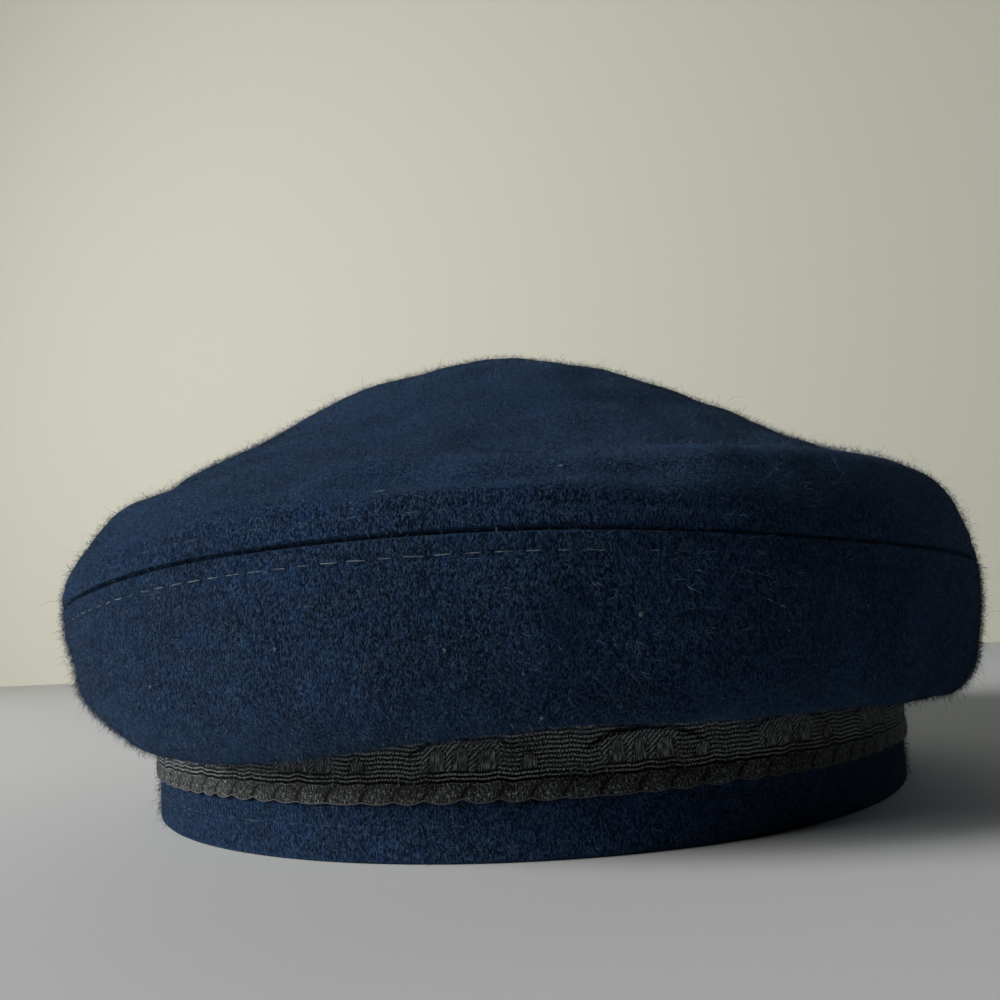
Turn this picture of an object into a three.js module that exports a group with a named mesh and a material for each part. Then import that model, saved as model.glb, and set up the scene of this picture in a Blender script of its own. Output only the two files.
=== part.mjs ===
// Fisherman cap of navy wool: a full crown of two panels that droops over an upright band,
// a black woven trim round the band, and a short sloping peak in front.
// Millimetres, +Z up. The wearer faces -Y, and +X is the wearer's left.

import * as THREE from 'three';
import { LoftGeometry } from 'three/addons/geometries/LoftGeometry.js';

// Head size: a reach is measured across the ears, and runs DEPTH times as far front to back
const DEPTH = 1.16;
const BAND_REACH = 83.3;
const BAND_HEIGHT = 36;
const BAND_WALL = 3;
const BAND_HEM_ROUND = 0.8;
const BAND_HEM_HEIGHT = 3;

// The band's lower edge rises over the forehead, where the peak hangs below it
const FRONT_LIFT = 17;
const LIFT_SPREAD = 95;

const CLOTH = 2;
const GAP = 0.3;

const TRIM_BOTTOM = 9;
const TRIM_HEIGHT = 21;
const TRIM_WALL = 1;

// The crown's cloth rolls out over the band's top edge, hangs, and turns up again in a fold
const ROLL_RISE = 2.2;
const ROLL_WIDTH = 2.6;
const HANG_DROP = 1;
const FOLD_ROLL = 2.8;
const BELLY_TURN = { reach: -1.6, height: -5.5 };
const BELLY_CREST = 1;
const BELLY_SWELL = { reach: 0.5, height: 1 };

// The top panel climbs from its seam over a soft rim, dips, and is peaked up like a tent
const RIM_START = { reach: -1, height: 5.5 };
const RIM_SHOULDER = { reach: 0.5, height: -4.5 };
const TOP_REACHES = [78, 62, 42];
const CAP = [20, 96.3];
const POLE = [0, 99.5];
const LEAN = 4;
const LEAN_REACH = 91;

const PEAK_SPREAD = 62;
const PEAK_REACH = 40;
const PEAK_TAPER = 1.1;
const PEAK_WALL = 2.6;
const PEAK_END_WALL = 1;
const PEAK_TUCK = 2.6;
const PEAK_CAMBER = 3;
const PEAK_END_RISE = 3;

const TURN_COUNT = 64;
const FRONT_TURN = 180;
const STEPS_PER_SPAN = 2;
const PEAK_STEP_COUNT = 6;

const NAVY_WOOL = { color: 0x17243f, roughness: 0.95, metalness: 0 };
const BLACK_BRAID = { color: 0x1c1d21, roughness: 0.7, metalness: 0 };

// The crown's sections, one row every 30 degrees from the back of the head towards the wearer's left:
// [reach, height] of the fold, belly, seam and rim, then the top's heights at its three inner reaches
const CROWN_SECTIONS = [
  { fold: [97, 20.5], belly: [100.5, 29.5], seam: [100.5, 47.5], rim: [91, 59.5], top: [63.5, 74, 88] },
  { fold: [94.5, 16.4], belly: [100.5, 27.5], seam: [100.5, 47], rim: [85, 63.5], top: [67, 76, 88] },
  { fold: [92.5, 20.5], belly: [99.5, 31.5], seam: [101.5, 43.3], rim: [80, 66], top: [69, 77, 89] },
  { fold: [88.5, 22], belly: [95, 31.5], seam: [100.5, 44], rim: [88, 64.5], top: [73.5, 82.5, 91] },
  { fold: [91, 27], belly: [96.5, 36.5], seam: [100, 50], rim: [89.5, 66], top: [74, 82, 90] },
  { fold: [93, 35.5], belly: [98, 45.5], seam: [99.5, 59], rim: [91, 71], top: [76, 82.5, 89.5] },
  { fold: [93, 44], belly: [98.5, 54], seam: [99, 66], rim: [91, 77], top: [80, 85, 89.5] },
  { fold: [93.5, 35.5], belly: [98, 45.5], seam: [98.5, 59], rim: [91, 71], top: [75, 82, 89] },
  { fold: [93, 26], belly: [97.5, 35], seam: [98, 49.5], rim: [90.5, 64], top: [70, 78.5, 88] },
  { fold: [92, 19], belly: [97, 27], seam: [98, 41], rim: [89.5, 60], top: [66.5, 76, 87] },
  { fold: [93.5, 18.5], belly: [99, 27.5], seam: [100, 42], rim: [91, 60], top: [66, 75.7, 87.3] },
  { fold: [95.5, 19.5], belly: [100.5, 28.5], seam: [100.5, 44.5], rim: [91, 60.5], top: [64, 74, 87.5] },
];

const turns = Array.from({ length: TURN_COUNT }, (_, index) => (index / TURN_COUNT) * 360);

// A point of the head's oval: turn 0 is the back of the head, 90 the wearer's left ear
function onHead(turn, [reach, height]) {
  const angle = THREE.MathUtils.degToRad(turn);
  const lean = LEAN * Math.max(0, 1 - reach / LEAN_REACH);
  return new THREE.Vector3(reach * Math.sin(angle) + lean, reach * DEPTH * Math.cos(angle), height);
}

// One column of the section table, carried smoothly round the head as a closed curve
function smoothColumn(pick) {
  const points = CROWN_SECTIONS.map((row) => new THREE.Vector3(...pick(row), 0));
  const curve = new THREE.CatmullRomCurve3(points, true, 'catmullrom', 0.5);
  return (turn) => {
    const point = curve.getPoint(turn / 360);
    return [point.x, point.y];
  };
}

const foldAt = smoothColumn((row) => row.fold);
const bellyAt = smoothColumn((row) => row.belly);
const seamAt = smoothColumn((row) => row.seam);
const rimAt = smoothColumn((row) => row.rim);
const topsAt = TOP_REACHES.map((reach, index) => smoothColumn((row) => [reach, row.top[index]]));

function frontLift(turn) {
  const fromFront = Math.abs(FRONT_TURN - turn);
  const share = Math.min(fromFront / LIFT_SPREAD, 1);
  return FRONT_LIFT * Math.cos((share * Math.PI) / 2) ** 2;
}

function shifted([reach, height], offset) {
  return [reach + offset.reach, height + offset.height];
}

function midway([reachA, heightA], [reachB, heightB]) {
  return [(reachA + reachB) / 2, (heightA + heightB) / 2];
}

// The closed outline of a cloth wall whose outer face follows a path from the crown's middle down.
// The cut edges at both ends are square to the given normals, so neighbouring edges lie flat.
function clothOutline(path, startNormal, endNormal) {
  const curve = new THREE.SplineCurve(path.map((point) => new THREE.Vector2(...point)));
  const stepCount = (path.length - 1) * STEPS_PER_SPAN;
  const outer = curve.getPoints(stepCount);
  const inner = outer.map((point, index) => {
    const tangent = curve.getTangent(index / stepCount);
    const normal = new THREE.Vector2(tangent.y, -tangent.x);
    if (index === 0) normal.set(...startNormal);
    if (index === stepCount) normal.set(...endNormal);
    return point.clone().addScaledVector(normal, CLOTH);
  });
  return [...outer, ...inner.reverse()].map((point) => point.toArray());
}

// A wall that runs all round the head. outlineAt gives its outline at a turn, outer face first
// and downwards. The outline closes on itself, or starts and ends on the crown's middle.
function wallRoundHead(outlineAt) {
  const outlines = turns.map(outlineAt);
  const rings = outlines[0].map((_, index) => turns.map((turn, row) => onHead(turn, outlines[row][index])));
  const startsAtMiddle = outlines[0][0][0] === 0;
  if (!startsAtMiddle) rings.push(rings[0]);
  return new LoftGeometry(rings);
}

const INWARDS = [-1, 0];
const DOWNWARDS = [0, -1];

// Top panel: from the middle of the crown out over the rim and down to the seam
function crownTopOutline(turn) {
  const seam = seamAt(turn);
  const rim = rimAt(turn);
  const [dip, tent, dome] = topsAt.map((topAt) => topAt(turn));
  const path = [
    POLE,
    CAP,
    dome,
    tent,
    dip,
    rim,
    shifted([midway(seam, rim)[0], rim[1]], RIM_SHOULDER),
    shifted(seam, RIM_START),
    [seam[0], seam[1] + GAP / 2],
  ];
  return clothOutline(path, DOWNWARDS, INWARDS);
}

// Side panel: from the seam down over the belly, under the fold and up to the band's top edge
function crownSideOutline(turn) {
  const seam = seamAt(turn);
  const belly = bellyAt(turn);
  const fold = foldAt(turn);
  const bandTop = frontLift(turn) + BAND_HEIGHT;
  const path = [
    [seam[0], seam[1] - GAP / 2],
    shifted(midway(belly, seam), BELLY_SWELL),
    [belly[0], belly[1] + BELLY_CREST],
    shifted(belly, BELLY_TURN),
    fold,
    [fold[0] - FOLD_ROLL, fold[1] + FOLD_ROLL],
    [BAND_REACH + ROLL_WIDTH, bandTop - HANG_DROP],
    [BAND_REACH + ROLL_WIDTH / 2, bandTop + ROLL_RISE],
    [BAND_REACH, bandTop + GAP],
  ];
  return clothOutline(path, INWARDS, INWARDS);
}

// Band: an upright double layer of wool with a rounded hem and a flat lower edge
function bandOutline(turn) {
  const bottom = frontLift(turn);
  const hem = bottom + BAND_HEM_HEIGHT;
  const top = bottom + BAND_HEIGHT;
  return [
    [BAND_REACH, top],
    [BAND_REACH, hem],
    [BAND_REACH - BAND_HEM_ROUND, bottom],
    [BAND_REACH - BAND_WALL, bottom],
    [BAND_REACH - BAND_WALL, hem],
    [BAND_REACH - BAND_WALL, top],
  ];
}

// Trim: a flat ribbon sewn round the band above its hem
function trimOutline(turn) {
  const bottom = frontLift(turn) + TRIM_BOTTOM;
  const inside = BAND_REACH + GAP;
  return [
    [inside + TRIM_WALL, bottom + TRIM_HEIGHT],
    [inside + TRIM_WALL, bottom],
    [inside, bottom],
    [inside, bottom + TRIM_HEIGHT],
  ];
}

// Peak: a crescent that starts flat under the band's lower edge and slopes down to the table.
// Its wall thins towards both ends.
function peakOutline(turn) {
  const fromFront = Math.abs(FRONT_TURN - turn) / PEAK_SPREAD;
  const share = Math.cos((fromFront * Math.PI) / 2) ** PEAK_TAPER;
  const wall = PEAK_END_WALL + (PEAK_WALL - PEAK_END_WALL) * Math.min(1, 2 * share);
  const rootHeight = frontLift(turn) - GAP - wall;
  const drop = PEAK_END_RISE * fromFront ** 2 - rootHeight;
  const under = [[BAND_REACH - PEAK_TUCK, rootHeight]];
  for (let step = 0; step <= PEAK_STEP_COUNT; step += 1) {
    const out = step / PEAK_STEP_COUNT;
    const camber = PEAK_CAMBER * Math.sin(out * Math.PI);
    under.push([BAND_REACH + PEAK_REACH * share * out, rootHeight + share * (drop * out + camber)]);
  }
  const over = under.map(([reach, height]) => [reach, height + wall]);
  return [...under, ...over.reverse()];
}

function peakGeometry() {
  const peakTurns = turns.filter((turn) => Math.abs(FRONT_TURN - turn) < PEAK_SPREAD);
  const sections = peakTurns.map((turn) => peakOutline(turn).map((point) => onHead(turn, point)));
  return new LoftGeometry(sections, { capStart: true, capEnd: true });
}

function piece(name, geometry, finish) {
  const mesh = new THREE.Mesh(geometry, new THREE.MeshStandardMaterial(finish));
  mesh.name = name;
  return mesh;
}

const cap = new THREE.Group();
cap.add(
  piece('crown_top', wallRoundHead(crownTopOutline), NAVY_WOOL),
  piece('crown_side', wallRoundHead(crownSideOutline), NAVY_WOOL),
  piece('band', wallRoundHead(bandOutline), NAVY_WOOL),
  piece('trim', wallRoundHead(trimOutline), BLACK_BRAID),
  piece('peak', peakGeometry(), NAVY_WOOL),
);

// The cap's origin is the middle of its footprint, on the table
const extent = new THREE.Box3().setFromObject(cap);
const middle = extent.getCenter(new THREE.Vector3());
cap.position.set(-middle.x, -middle.y, -extent.min.z);

export default cap;
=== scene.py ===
import math

import bmesh
import bpy
import numpy as np
from mathutils import Matrix, Vector


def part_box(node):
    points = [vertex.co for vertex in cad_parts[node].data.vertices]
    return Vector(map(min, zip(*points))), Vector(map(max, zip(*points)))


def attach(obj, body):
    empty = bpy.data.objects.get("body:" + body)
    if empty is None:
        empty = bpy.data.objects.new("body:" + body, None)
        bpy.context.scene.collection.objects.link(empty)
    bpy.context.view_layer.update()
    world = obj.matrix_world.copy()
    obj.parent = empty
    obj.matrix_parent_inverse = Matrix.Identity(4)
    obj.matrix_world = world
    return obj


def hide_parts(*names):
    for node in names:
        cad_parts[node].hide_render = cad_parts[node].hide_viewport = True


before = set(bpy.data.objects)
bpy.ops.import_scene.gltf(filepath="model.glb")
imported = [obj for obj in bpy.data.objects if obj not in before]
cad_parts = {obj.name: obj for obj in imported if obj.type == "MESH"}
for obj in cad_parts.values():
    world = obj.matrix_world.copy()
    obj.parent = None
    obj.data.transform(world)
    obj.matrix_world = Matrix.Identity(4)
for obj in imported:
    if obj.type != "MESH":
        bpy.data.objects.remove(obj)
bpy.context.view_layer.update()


# Band: an upright ring of milled navy wool, doubled and turned under at its lower edge.
# The cap stands on it, and its lower edge rises over the forehead to make room for the peak.
MM = 0.001
MERGE_WITHIN = 0.0001
HEAD_DEPTH = 1.16
LEAN = 4.0
LEAN_REACH = 91.0
BAND_REACH = 83.3
BAND_HEIGHT = 36.0
BAND_WALL = 3.0
BAND_HEM_ROUND = 0.9
HEM_DEGREES = (30, 60, 90)
FRONT_LIFT = 17.0
LIFT_SPREAD = 95.0
BAND_TURNS = 360
BAND_FACE_STEPS = 14
BAND_INNER_HEIGHTS = (0, 3, 12, 24, BAND_HEIGHT)

# Near black, painted into the crown's seam groove as its shade
PAINTED_SEAM_SHADE = (0.0003, 0.0007, 0.0020, 1.0)
WOOL_NIGHT = (0.0007, 0.0024, 0.0085, 1.0)
WOOL_NAVY = (0.0036, 0.0144, 0.0490, 1.0)
WOOL_BLUE = (0.0420, 0.0820, 0.1480, 1.0)
WOOL_SHEEN = (0.22, 0.50, 1.0, 1.0)
WOOL_COMB = (1.1, 1.1, 0.55)
# Sizes of the wool's markings, and how much each counts in its light and dark
WOOL_SIZES = {"clouds": 9.0, "tufts": 0.9, "grains": 0.34, "curls": 0.6}
WOOL_SHARES = {"clouds": 0.24, "tufts": 0.38, "grains": 0.38}
WOOL_RELIEF = {"tufts": 0.5, "grains": 0.5, "fibres": 0.4}
# Where night blue turns to navy, and where a fibre line shows
NAVY_STEP = (0.44, 0.56)
FIBRE_STEP = (0.42, 0.62)
FIBRE_LINE = 7

band_low, band_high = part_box("band")
HEAD_X = (band_low.x + band_high.x) / 2 - LEAN * (1 - BAND_REACH / LEAN_REACH) * MM
HEAD_Y = (band_low.y + band_high.y) / 2


def front_lift(turn):
    """How far the band has risen at a turn, in degrees from the back of the head."""
    share = np.minimum(np.abs(180 - turn % 360) / LIFT_SPREAD, 1)
    return FRONT_LIFT * np.cos(share * np.pi / 2) ** 2


def on_head(turn, reach, height):
    """Points on the head's oval in metres: turn 0 is the back of the head, 90 the left ear."""
    angle = np.radians(turn)
    lean = LEAN * np.maximum(0, 1 - reach / LEAN_REACH)
    x = HEAD_X + MM * (reach * np.sin(angle) + lean)
    y = HEAD_Y + MM * reach * HEAD_DEPTH * np.cos(angle)
    return np.stack(np.broadcast_arrays(x, y, MM * height), axis=-1)


def sewn_grid(points, turns_close=True, outline_closes=True, masks=None):
    """A grid laid over rows of points that run round the head, sewn shut where it meets itself."""
    turn_count, point_count = points.shape[:2]
    turn_steps = turn_count if turns_close else turn_count - 1
    outline_steps = point_count if outline_closes else point_count - 1
    shell = bmesh.new()
    shell.loops.layers.uv.new("cloth")
    bmesh.ops.create_grid(shell, x_segments=turn_steps, y_segments=outline_steps, size=0.5, calc_uvs=True)
    pattern_and_shade_masks = shell.verts.layers.float_color.new("pattern_and_shade_masks") if masks is not None else None
    for vert in shell.verts:
        turn = round((vert.co.x + 0.5) * turn_steps) % turn_count
        step = round((vert.co.y + 0.5) * outline_steps) % point_count
        vert.co = points[turn, step]
        if pattern_and_shade_masks:
            vert[pattern_and_shade_masks] = masks[turn, step]
    bmesh.ops.remove_doubles(shell, verts=shell.verts, dist=MERGE_WITHIN * MM)
    bmesh.ops.recalc_face_normals(shell, faces=shell.faces)
    return shell


def mesh_of(name, shape):
    """The mesh of a bmesh, which is used up."""
    mesh = bpy.data.meshes.new(name)
    shape.to_mesh(mesh)
    shape.free()
    return mesh


def cap_piece(name, mesh):
    """A piece that rides on the cap."""
    piece = bpy.data.objects.new(name, mesh)
    bpy.context.scene.collection.objects.link(piece)
    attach(piece, "root")
    return piece


def made_piece(name, shape, finish, stands_for=None):
    """The finished piece of a bmesh, with smooth faces and one finish."""
    for face in shape.faces:
        face.smooth = True
    mesh = mesh_of(name, shape)
    mesh.materials.append(finish)
    piece = cap_piece(name, mesh)
    if stands_for:
        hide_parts(stands_for)


class Shade:
    """A socket of a finish's nodes: sums and products of it are Math nodes."""

    def __init__(self, socket):
        self.socket = socket

    def node(self, kind, settings, sockets, output=0):
        """An output of a new node, its settings set first, then its sockets set or linked."""
        tree = self.socket.id_data
        made = tree.nodes.new(kind)
        for name, value in settings.items():
            setattr(made, name, value)
        for name, value in sockets.items():
            if isinstance(value, Shade):
                tree.links.new(value.socket, made.inputs[name])
            else:
                made.inputs[name].default_value = value
        return Shade(made.outputs[output])

    def beside(self, output):
        """Another output of the node that this socket belongs to."""
        return Shade(self.socket.node.outputs[output])

    def maths(self, operation, *others):
        return self.node("ShaderNodeMath", {"operation": operation}, dict(enumerate([self, *others])))

    def __add__(self, other):
        return self.maths("ADD", other)

    __radd__ = __add__

    def __sub__(self, other):
        return self.maths("SUBTRACT", other)

    def __rsub__(self, other):
        return self.maths("MULTIPLY_ADD", -1.0, other)

    def __mul__(self, other):
        return self.maths("MULTIPLY", other)

    __rmul__ = __mul__

    def __truediv__(self, other):
        return self.maths("DIVIDE", other)

    def __pow__(self, other):
        return self.maths("POWER", other)

    def ramp(self, low, high):
        """0 below low, 1 above high, with a soft step between."""
        settings = {"interpolation_type": "SMOOTHSTEP"}
        return self.node("ShaderNodeMapRange", settings, {"Value": self, "From Min": low, "From Max": high})

    def blend(self, low, high):
        """The colour low where this is 0, and high where it is 1."""
        return self.node("ShaderNodeMix", {"data_type": "RGBA"}, {0: self, 6: low, 7: high}, output=2)

    def stretched(self, sizes):
        """This place, with each of its directions drawn out or in."""
        return self.node("ShaderNodeVectorMath", {"operation": "MULTIPLY"}, {0: self, 1: sizes})

    def noise(self, grain_mm, **sockets):
        """Cloudy noise at this place, with grains of a size."""
        return self.node("ShaderNodeTexNoise", {}, {"Vector": self, "Scale": 1 / (grain_mm * MM), **sockets})


class Finish:
    """A cloth finish: the constants of its shader, then the links that vary over the cloth."""

    def __init__(self, name, **constants):
        self.material = bpy.data.materials.new(name)
        self.material.use_nodes = True
        self.tree = self.material.node_tree
        self.shader = self.tree.nodes["Principled BSDF"]
        for socket, value in constants.items():
            self.shader.inputs[socket.replace("_", " ")].default_value = value
        coordinates = self.tree.nodes.new("ShaderNodeTexCoord")
        self.place = Shade(coordinates.outputs["Object"])
        self.flat = Shade(coordinates.outputs["UV"])

    def painted(self, output):
        """A mask painted on the piece's points."""
        return self.place.node("ShaderNodeAttribute", {"attribute_name": "pattern_and_shade_masks"}, {}, output)

    def vary(self, socket, shade):
        self.tree.links.new(shade.socket, self.shader.inputs[socket])

    def bump(self, height, depth_mm, strength):
        sockets = {"Height": height, "Distance": depth_mm * MM, "Strength": strength}
        self.vary("Normal", height.node("ShaderNodeBump", {}, sockets))


def milled_wool():
    """Heathered navy wool: felted tufts, curly fibre lines and a soft bluish bloom, with painted shade in a
    seam.
    """
    wool = Finish("navy_wool", Roughness=0.95, Specular_IOR_Level=0.05,
                  Sheen_Weight=0.17, Sheen_Roughness=0.45, Sheen_Tint=WOOL_SHEEN)
    combed = wool.place.stretched(WOOL_COMB)
    clouds = wool.place.noise(WOOL_SIZES["clouds"], Detail=2.0)
    tufts = combed.noise(WOOL_SIZES["tufts"], Detail=3.0, Roughness=0.62, Distortion=0.6)
    grains = combed.noise(WOOL_SIZES["grains"], Detail=2.0, Roughness=0.6)
    curls = combed.noise(WOOL_SIZES["curls"], Detail=2.0, Roughness=0.55, Distortion=1.4)
    fibres = (1 - (curls * 2 - 1).maths("ABSOLUTE")) ** FIBRE_LINE
    depth = tufts * WOOL_SHARES["tufts"] + grains * WOOL_SHARES["grains"] + clouds * WOOL_SHARES["clouds"]
    shaded = depth.ramp(*NAVY_STEP).blend(WOOL_NIGHT, WOOL_NAVY)
    lit = (fibres * grains.ramp(*FIBRE_STEP)).blend(shaded, WOOL_BLUE)
    # Inside the seam groove the mask turns the colour to the painted seam shade
    wool.vary("Base Color", wool.painted("Fac").blend(lit, PAINTED_SEAM_SHADE))
    relief = tufts * WOOL_RELIEF["tufts"] + grains * WOOL_RELIEF["grains"] + fibres * WOOL_RELIEF["fibres"]
    wool.bump(relief, depth_mm=0.4, strength=0.9)
    return wool.material


navy_wool = milled_wool()

turns = np.arange(BAND_TURNS) * 360 / BAND_TURNS
face_heights = np.linspace(BAND_HEIGHT, BAND_HEM_ROUND, BAND_FACE_STEPS)
hem_angles = np.radians(HEM_DEGREES)
hem_reach = BAND_REACH - BAND_HEM_ROUND * (1 - np.cos(hem_angles))
hem_height = BAND_HEM_ROUND * (1 - np.sin(hem_angles))
inner_reach = np.full(len(BAND_INNER_HEIGHTS), BAND_REACH - BAND_WALL)
band_reach = np.concatenate([np.full(BAND_FACE_STEPS, BAND_REACH), hem_reach, inner_reach])
band_height = np.concatenate([face_heights, hem_height, BAND_INNER_HEIGHTS])
band_points = on_head(turns[:, None], band_reach[None, :], band_height[None, :] + front_lift(turns)[:, None])
made_piece("band_wool", sewn_grid(band_points), navy_wool, "band")


# Trim: a black jacquard ribbon sewn flat round the band above its hem. Each edge is a row of ribbed
# scallops bound with a thin cord; inside two grooves lie beaded ribs, lobed satin leaves and a sunk stalk.
# Shade in its sunk places, the stalk among them, and glints on its high threads are painted into its colour.
TRIM_BOTTOM = 9.0
TRIM_HEIGHT = 21.0
TRIM_BACK = BAND_REACH + 0.03
TRIM_FACE = BAND_REACH + 0.75
TRIM_COLUMNS = 945
MEASURED_TURNS = 7201
SCALLOPS = 105
SCALLOP_DEPTH = 0.48
# Waves in the scallops' spacing: how many go round the cap, and how far each shifts a scallop
SCALLOP_DRIFT = [{"waves": 10, "shift": 0.10}, {"waves": 27, "shift": 0.08}]
# Waves in the scallops' depth
DEPTH_DRIFT = {"waves": 13, "share": 0.55}
ROW_PUCKER = 0.07
PUCKER_WAVES = (41, 67, 103, 151)
STRIP_HEIGHT = 3.0
STRIP_RISE = 0.18
STRIP_DIP = 0.10
STRIP_ROUND = 0.7
# Creases between scallops, painted dark as their shade: how they lean, where they begin between two, and how
# far up they fade
CREASE_SLANT = 0.22
CREASE_STEP = (0.84, 1.0)
CREASE_HEIGHTS = (2.9, 1.8)
GROOVES = [{"height": 3.2, "width": 0.30}, {"height": 3.88, "width": 0.20}]
GROOVE_DEPTH = 0.18
RIB_PITCH = 0.68
BEADS = 1198
LEAF_REPEATS = 21
LEAF_FOOT = 4.7
LEAF_SLANT = 0.12
LEAF_SHIFT = 20.2
LOBE_ROUND = 0.9
LEAF_EDGE = (-0.05, 0.25)
LEAF_OUTLINE_SHADE = (-0.45, -0.05)
VEIN_PITCH = 0.85
VEIN_SLANT = 1.1
# The slanted veins: where they begin and end along one leaf, and how high they stand over its foot
VEINED = {"from": 3.2, "to": 16.4, "tall": 4.6}
# Lobes of one leaf: its middle along the ribbon, its width and how tall it stands
LEAF_LOBES = [
    {"middle": 6.0, "width": 2.4, "tall": 3.3},
    {"middle": 9.7, "width": 2.2, "tall": 3.5},
    {"middle": 13.7, "width": 2.9, "tall": 3.2},
    {"middle": 20.0, "width": 2.6, "tall": 2.2},
]
# The sunk stalk over one leaf, painted dark as its shade: place along the ribbon, height over its edge, half
# its thickness
STALK_LINE = [
    {"place": 1.6, "height": 7.4, "thick": 0.10},
    {"place": 3.6, "height": 8.2, "thick": 0.32},
    {"place": 6.0, "height": 9.3, "thick": 0.40},
    {"place": 10.0, "height": 9.6, "thick": 0.42},
    {"place": 15.0, "height": 9.4, "thick": 0.36},
    {"place": 18.6, "height": 8.3, "thick": 0.28},
    {"place": 20.6, "height": 7.2, "thick": 0.10},
]
STALK_DEPTH = 0.26
STALK_FADE = 0.5
# Rows of points up one half of the ribbon, from its edge: scallop strip, grooves, leaves
STRIP_ROWS = 11
GROOVE_ROWS = (3.2, 3.4, 3.64, 3.88, 4.1)
LEAF_ROWS = {"from": 4.4, "count": 20}

# Near black painted as shade in the gaps between threads, the threads' own grey, and a pale grey painted as
# the glint on their highest places
BRAID_GAP_SHADE = (0.0013, 0.0014, 0.0014, 1.0)
BRAID_THREAD = (0.0430, 0.0485, 0.0490, 1.0)
BRAID_GLINT = (0.2850, 0.3180, 0.3200, 1.0)
# Threads: their width along the ribbon and their height up it
FRAYED_THREAD = (0.40, 0.28)
SATIN_THREAD = (0.17, 1.5)
RIBBED_THREAD = (0.26, 0.80)
CROSSING_THREAD = (0.5, 3.0)
CROSSING_STEP = (0.03, 0.20)
# Places where threads have slipped: their size, and how far they shift the pattern there
SLIP = {"size": 1.2, "height": 0.16, "leaf": 0.4, "bead": 1.5, "vein": 0.6}
# Places where the ribbon is pulled tight: their size, how much lighter they are, and the pulls
# between which beads, creases and the stalk come out
PULL = {"size": 5.0, "light": 0.3, "beads": (-0.16, 0.10), "creases": (-0.30, 0.10), "stalk": (-0.2, 0.2)}
# How ragged the frayed ends make an edge
RAGGED = {"leaf": 0.9, "scallop": 0.25}
# How light each weave lies, and how much its beads, veins, threads and frayed ends add
BEADED = {"light": 0.66, "beads": 0.60, "worn": 0.30, "fray": 1.7}
SLANTED = {"light": 0.44, "veins": 0.55, "fray": 1.4}
SATIN = {"light": 0.70, "threads": 2.1}
RIBBED = {"light": 0.51, "threads": 1.6, "fray": 1.3}
# How dark the sunk places are painted, as their shade
SUNK = {"groove": 0.62, "tight_groove": 1.3, "crossing": 0.75,
        "outline": 0.35, "crease_shade": 0.62, "scallop_side_shade": 0.12}
# Levels of the weave between which the painted shade of a gap turns to thread, and thread to a painted glint
THREAD_LEVELS = (0.10, 0.70)
GLINT_LEVELS = (0.58, 1.10)

CORD_GREY = (0.066, 0.062, 0.075, 1.0)
CORD_RADIUS = 0.125
CORD_SIDES = 6
CORD_SUNK = 0.05
CORD_TWIST = {"size": 0.35, "step": (0.30, 0.60)}
FULL_TURN = 2 * math.pi

fine_turns = np.linspace(0, 360, MEASURED_TURNS)
fine_points = on_head(fine_turns, np.full(fine_turns.shape, TRIM_FACE), 0.0)
fine_along = np.concatenate([[0], np.cumsum(np.linalg.norm(np.diff(fine_points, axis=0), axis=-1))]) / MM
trim_length = fine_along[-1]
leaf_repeat = trim_length / LEAF_REPEATS
trim_along = np.arange(TRIM_COLUMNS)[:, None] * trim_length / TRIM_COLUMNS
trim_turns = np.interp(trim_along, fine_along, fine_turns)


def soft_step(low, high, value):
    """0 at low, 1 at high, with a soft step between."""
    share = np.clip((value - low) / (high - low), 0, 1)
    return share * share * (3 - 2 * share)


def scallop_count(along, sine):
    """Scallops passed at a place along the ribbon, with the small unevenness of a woven edge."""
    passed = along * (SCALLOPS / trim_length)
    for drift in SCALLOP_DRIFT:
        passed = passed + sine(along * (FULL_TURN * drift["waves"] / trim_length)) * drift["shift"]
    return passed


scallop_phase = 2 * (scallop_count(trim_along, np.sin) % 1) - 1
unevenness = 1 + DEPTH_DRIFT["share"] * np.sin(trim_along * FULL_TURN * DEPTH_DRIFT["waves"] / trim_length)
draw_in = SCALLOP_DEPTH * unevenness * scallop_phase ** 2
pucker = sum(ROW_PUCKER * np.sin(trim_along * FULL_TURN * waves / trim_length + waves)
             for waves in PUCKER_WAVES)


def stalk_mask(along, from_edge):
    """The sunk stalk of the leaves, painted dark as its shade, 1 along its middle."""
    place = (LEAF_SHIFT - along) % leaf_repeat
    spots = [spot["place"] for spot in STALK_LINE]
    middle = np.interp(place, spots, [spot["height"] for spot in STALK_LINE])
    thick = np.interp(place, spots, [spot["thick"] for spot in STALK_LINE])
    begun = soft_step(spots[0] - STALK_FADE, spots[0] + STALK_FADE, place)
    ended = soft_step(spots[-1] - STALK_FADE, spots[-1] + STALK_FADE, place)
    return begun * (1 - ended) * np.exp(-((from_edge - middle) / thick) ** 2)


def ribbon_face(along, height):
    """Relief of the ribbon in millimetres, and its masks: stalk and scallop strip."""
    upper = height > TRIM_HEIGHT / 2
    from_edge = np.minimum(height, TRIM_HEIGHT - height)
    stalk = stalk_mask(along + upper * leaf_repeat / 2, from_edge)
    strip = soft_step(STRIP_HEIGHT + 0.1, STRIP_HEIGHT - 0.2, from_edge)
    groove = sum(np.exp(-((from_edge - line["height"]) / line["width"]) ** 2) for line in GROOVES)
    arch = np.sin(np.pi * np.clip(from_edge / STRIP_HEIGHT, 0, 1)) ** STRIP_ROUND
    raised = strip * arch * (STRIP_RISE - STRIP_DIP * scallop_phase ** 4)
    relief = raised - GROOVE_DEPTH * groove - STALK_DEPTH * stalk
    return relief, np.stack(np.broadcast_arrays(stalk, strip, 0.0, 1.0), axis=-1)


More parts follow.
